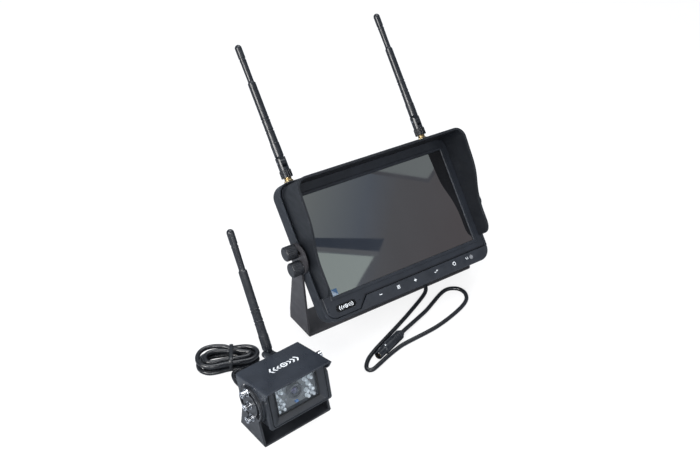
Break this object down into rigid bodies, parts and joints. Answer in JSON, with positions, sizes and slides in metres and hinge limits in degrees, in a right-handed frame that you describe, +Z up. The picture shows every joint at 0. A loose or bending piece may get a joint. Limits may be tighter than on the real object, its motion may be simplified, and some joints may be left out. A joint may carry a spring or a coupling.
{
  "type": "backup camera kit",
  "caption": "Wireless reversing camera kit: tilting monitor with sunshade and folding antennas on a U bracket, its power lead, and a hooded night camera on its own bracket.",
  "frame": {"origin": "middle of the monitor bracket's underside, on the table", "axes": "+Z up, +X to the viewer's right when looking at the screen, the screen faces -Y"},
  "size_m": [0.2993, 0.2397, 0.2157],
  "materials": {
    "casing_plastic": "fine moulded texture",
    "shade_plastic": "fine moulded texture",
    "key_plastic": "satin touch strip",
    "badge_plastic": "gloss, blank",
    "ir_plastic": "dark infrared filter",
    "screen_glass": "gloss cover glass",
    "panel_black": "dark panel, switched off",
    "film": "thin pull tab",
    "board_green": "solder mask",
    "speaker_black": "moulded",
    "bracket_paint": "satin powder coat",
    "camera_bracket_paint": "satin powder coat",
    "camera_paint": "satin paint",
    "hood_paint": "satin paint",
    "screw_steel": "stainless",
    "insert_brass": "machined",
    "jack_gold": "gold plated",
    "knob_plastic": "moulded",
    "antenna_plastic": "satin sleeve",
    "nut_metal": "black plated",
    "cable_jacket": "smooth jacket",
    "grommet_rubber": "matt",
    "plug_plastic": "moulded",
    "window_clear": "clear",
    "led_board_grey": "satin grey",
    "led_clear": "clear domes",
    "sensor_blue": "tinted",
    "lens_glass": "coated",
    "tie_plastic": "twist tie"
  },
  "bodies": {
    "base": {"monitor_bracket": "bracket_paint", "power_lead": "cable_jacket", "plug_body": "plug_plastic", "plug_contacts": "insert_brass"},
    "monitor": {"rear_cover": "casing_plastic", "front_frame": "casing_plastic", "badge_plate": "badge_plastic", "key_strip": "key_plastic", "ir_window": "ir_plastic", "lcd_panel": "panel_black", "lcd_glass": "screen_glass", "film_tab": "film", "main_board": "board_green", "touch_board": "board_green", "speaker": "speaker_black", "rear_screws": "screw_steel", "side_inserts": "insert_brass", "knob_washers": "screw_steel", "antenna_jacks": "jack_gold", "lead_grommet": "grommet_rubber", "lead_tail": "cable_jacket"},
    "shade": {"sunshade": "shade_plastic"},
    "knob_lu": {"knob_left_upper": "knob_plastic"},
    "knob_ll": {"knob_left_lower": "knob_plastic"},
    "knob_ru": {"knob_right_upper": "knob_plastic"},
    "knob_rl": {"knob_right_lower": "knob_plastic"},
    "left_nut": {"left_antenna_nut": "nut_metal"},
    "left_barrel": {"left_antenna_barrel": "antenna_plastic", "left_antenna_pin": "screw_steel"},
    "left_rod": {"left_antenna_rod": "antenna_plastic"},
    "right_nut": {"right_antenna_nut": "nut_metal"},
    "right_barrel": {"right_antenna_barrel": "antenna_plastic", "right_antenna_pin": "screw_steel"},
    "right_rod": {"right_antenna_rod": "antenna_plastic"},
    "camera_base": {"cam_bracket": "camera_bracket_paint", "cam_cable": "cable_jacket", "cam_cable_tie": "tie_plastic"},
    "camera_head": {"cam_body": "camera_paint", "cam_bezel": "camera_paint", "cam_hood": "hood_paint", "cam_rivets": "hood_paint", "cam_window": "window_clear", "cam_gasket": "grommet_rubber", "cam_led_board": "led_board_grey", "cam_leds": "led_clear", "cam_light_sensor": "sensor_blue", "cam_lens_barrel": "camera_paint", "cam_lens": "lens_glass", "cam_sensor_board": "board_green", "cam_radio_board": "board_green", "cam_side_screws": "screw_steel", "cam_washers": "screw_steel", "cam_rear_screws": "screw_steel", "cam_jack": "jack_gold", "cam_gland": "grommet_rubber", "cam_tail": "cable_jacket"},
    "cam_nut": {"cam_antenna_nut": "nut_metal"},
    "cam_barrel": {"cam_antenna_barrel": "antenna_plastic", "cam_antenna_pin": "screw_steel"},
    "cam_rod": {"cam_antenna_rod": "antenna_plastic"}
  },
  "joints": [
    {"name": "monitor_tilt", "type": "hinge", "parent": "base", "child": "monitor", "pos_m": [0, 0, 0.076], "axis": [-1, 0, 0], "range_deg": [-56, 19]},
    {"name": "sunshade_pull", "type": "slide", "parent": "monitor", "child": "shade", "axis": [0, -0.7547, 0.6561], "range_m": [0, 0.04]},
    {"name": "knob_lu_turn", "type": "hinge", "parent": "monitor", "child": "knob_lu", "pos_m": [-0.1, 0.00472, 0.08143], "axis": [-1, 0, 0], "continuous": true},
    {"name": "knob_ll_turn", "type": "hinge", "parent": "monitor", "child": "knob_ll", "pos_m": [-0.1, -0.00472, 0.07057], "axis": [-1, 0, 0], "continuous": true},
    {"name": "knob_ru_turn", "type": "hinge", "parent": "monitor", "child": "knob_ru", "pos_m": [0.1, 0.00472, 0.08143], "axis": [1, 0, 0], "continuous": true},
    {"name": "knob_rl_turn", "type": "hinge", "parent": "monitor", "child": "knob_rl", "pos_m": [0.1, -0.00472, 0.07057], "axis": [1, 0, 0], "continuous": true},
    {"name": "left_nut_turn", "type": "hinge", "parent": "monitor", "child": "left_nut", "pos_m": [-0.0725, 0.04914, 0.12338], "axis": [0, 0.6561, 0.7547], "continuous": true},
    {"name": "left_antenna_swivel", "type": "hinge", "parent": "monitor", "child": "left_barrel", "pos_m": [-0.0725, 0.04914, 0.12338], "axis": [0, 0.6561, 0.7547], "continuous": true},
    {"name": "left_antenna_fold", "type": "hinge", "parent": "left_barrel", "child": "left_rod", "pos_m": [-0.0725, 0.05865, 0.13433], "axis": [-1, 0, 0], "range_deg": [0, 90]},
    {"name": "right_nut_turn", "type": "hinge", "parent": "monitor", "child": "right_nut", "pos_m": [0.0725, 0.04914, 0.12338], "axis": [0, 0.6561, 0.7547], "continuous": true},
    {"name": "right_antenna_swivel", "type": "hinge", "parent": "monitor", "child": "right_barrel", "pos_m": [0.0725, 0.04914, 0.12338], "axis": [0, 0.6561, 0.7547], "continuous": true},
    {"name": "right_antenna_fold", "type": "hinge", "parent": "right_barrel", "child": "right_rod", "pos_m": [0.0725, 0.05865, 0.13433], "axis": [-1, 0, 0], "range_deg": [0, 90]},
    {"name": "camera_place", "type": "slide", "parent": "base", "child": "camera_base", "axis": [0, -1, 0], "range_m": [0, 0.15]},
    {"name": "camera_pitch", "type": "hinge", "parent": "camera_base", "child": "camera_head", "pos_m": [-0.1582, -0.0854, 0.0325], "axis": [0.9963, 0.0854, 0], "range_deg": [-2, 110]},
    {"name": "cam_nut_turn", "type": "hinge", "parent": "camera_head", "child": "cam_nut", "pos_m": [-0.15113, -0.0661, 0.04052], "axis": [-0.083, 0.968, -0.2368], "continuous": true},
    {"name": "cam_antenna_swivel", "type": "hinge", "parent": "camera_head", "child": "cam_barrel", "pos_m": [-0.15113, -0.0661, 0.04052], "axis": [-0.083, 0.968, -0.2368], "range_deg": [-100, 20]},
    {"name": "cam_antenna_fold", "type": "hinge", "parent": "cam_barrel", "child": "cam_rod", "pos_m": [-0.15233, -0.05206, 0.03708], "axis": [0.9963, 0.0854, 0], "range_deg": [-77.4, 12.6]}
  ]
}
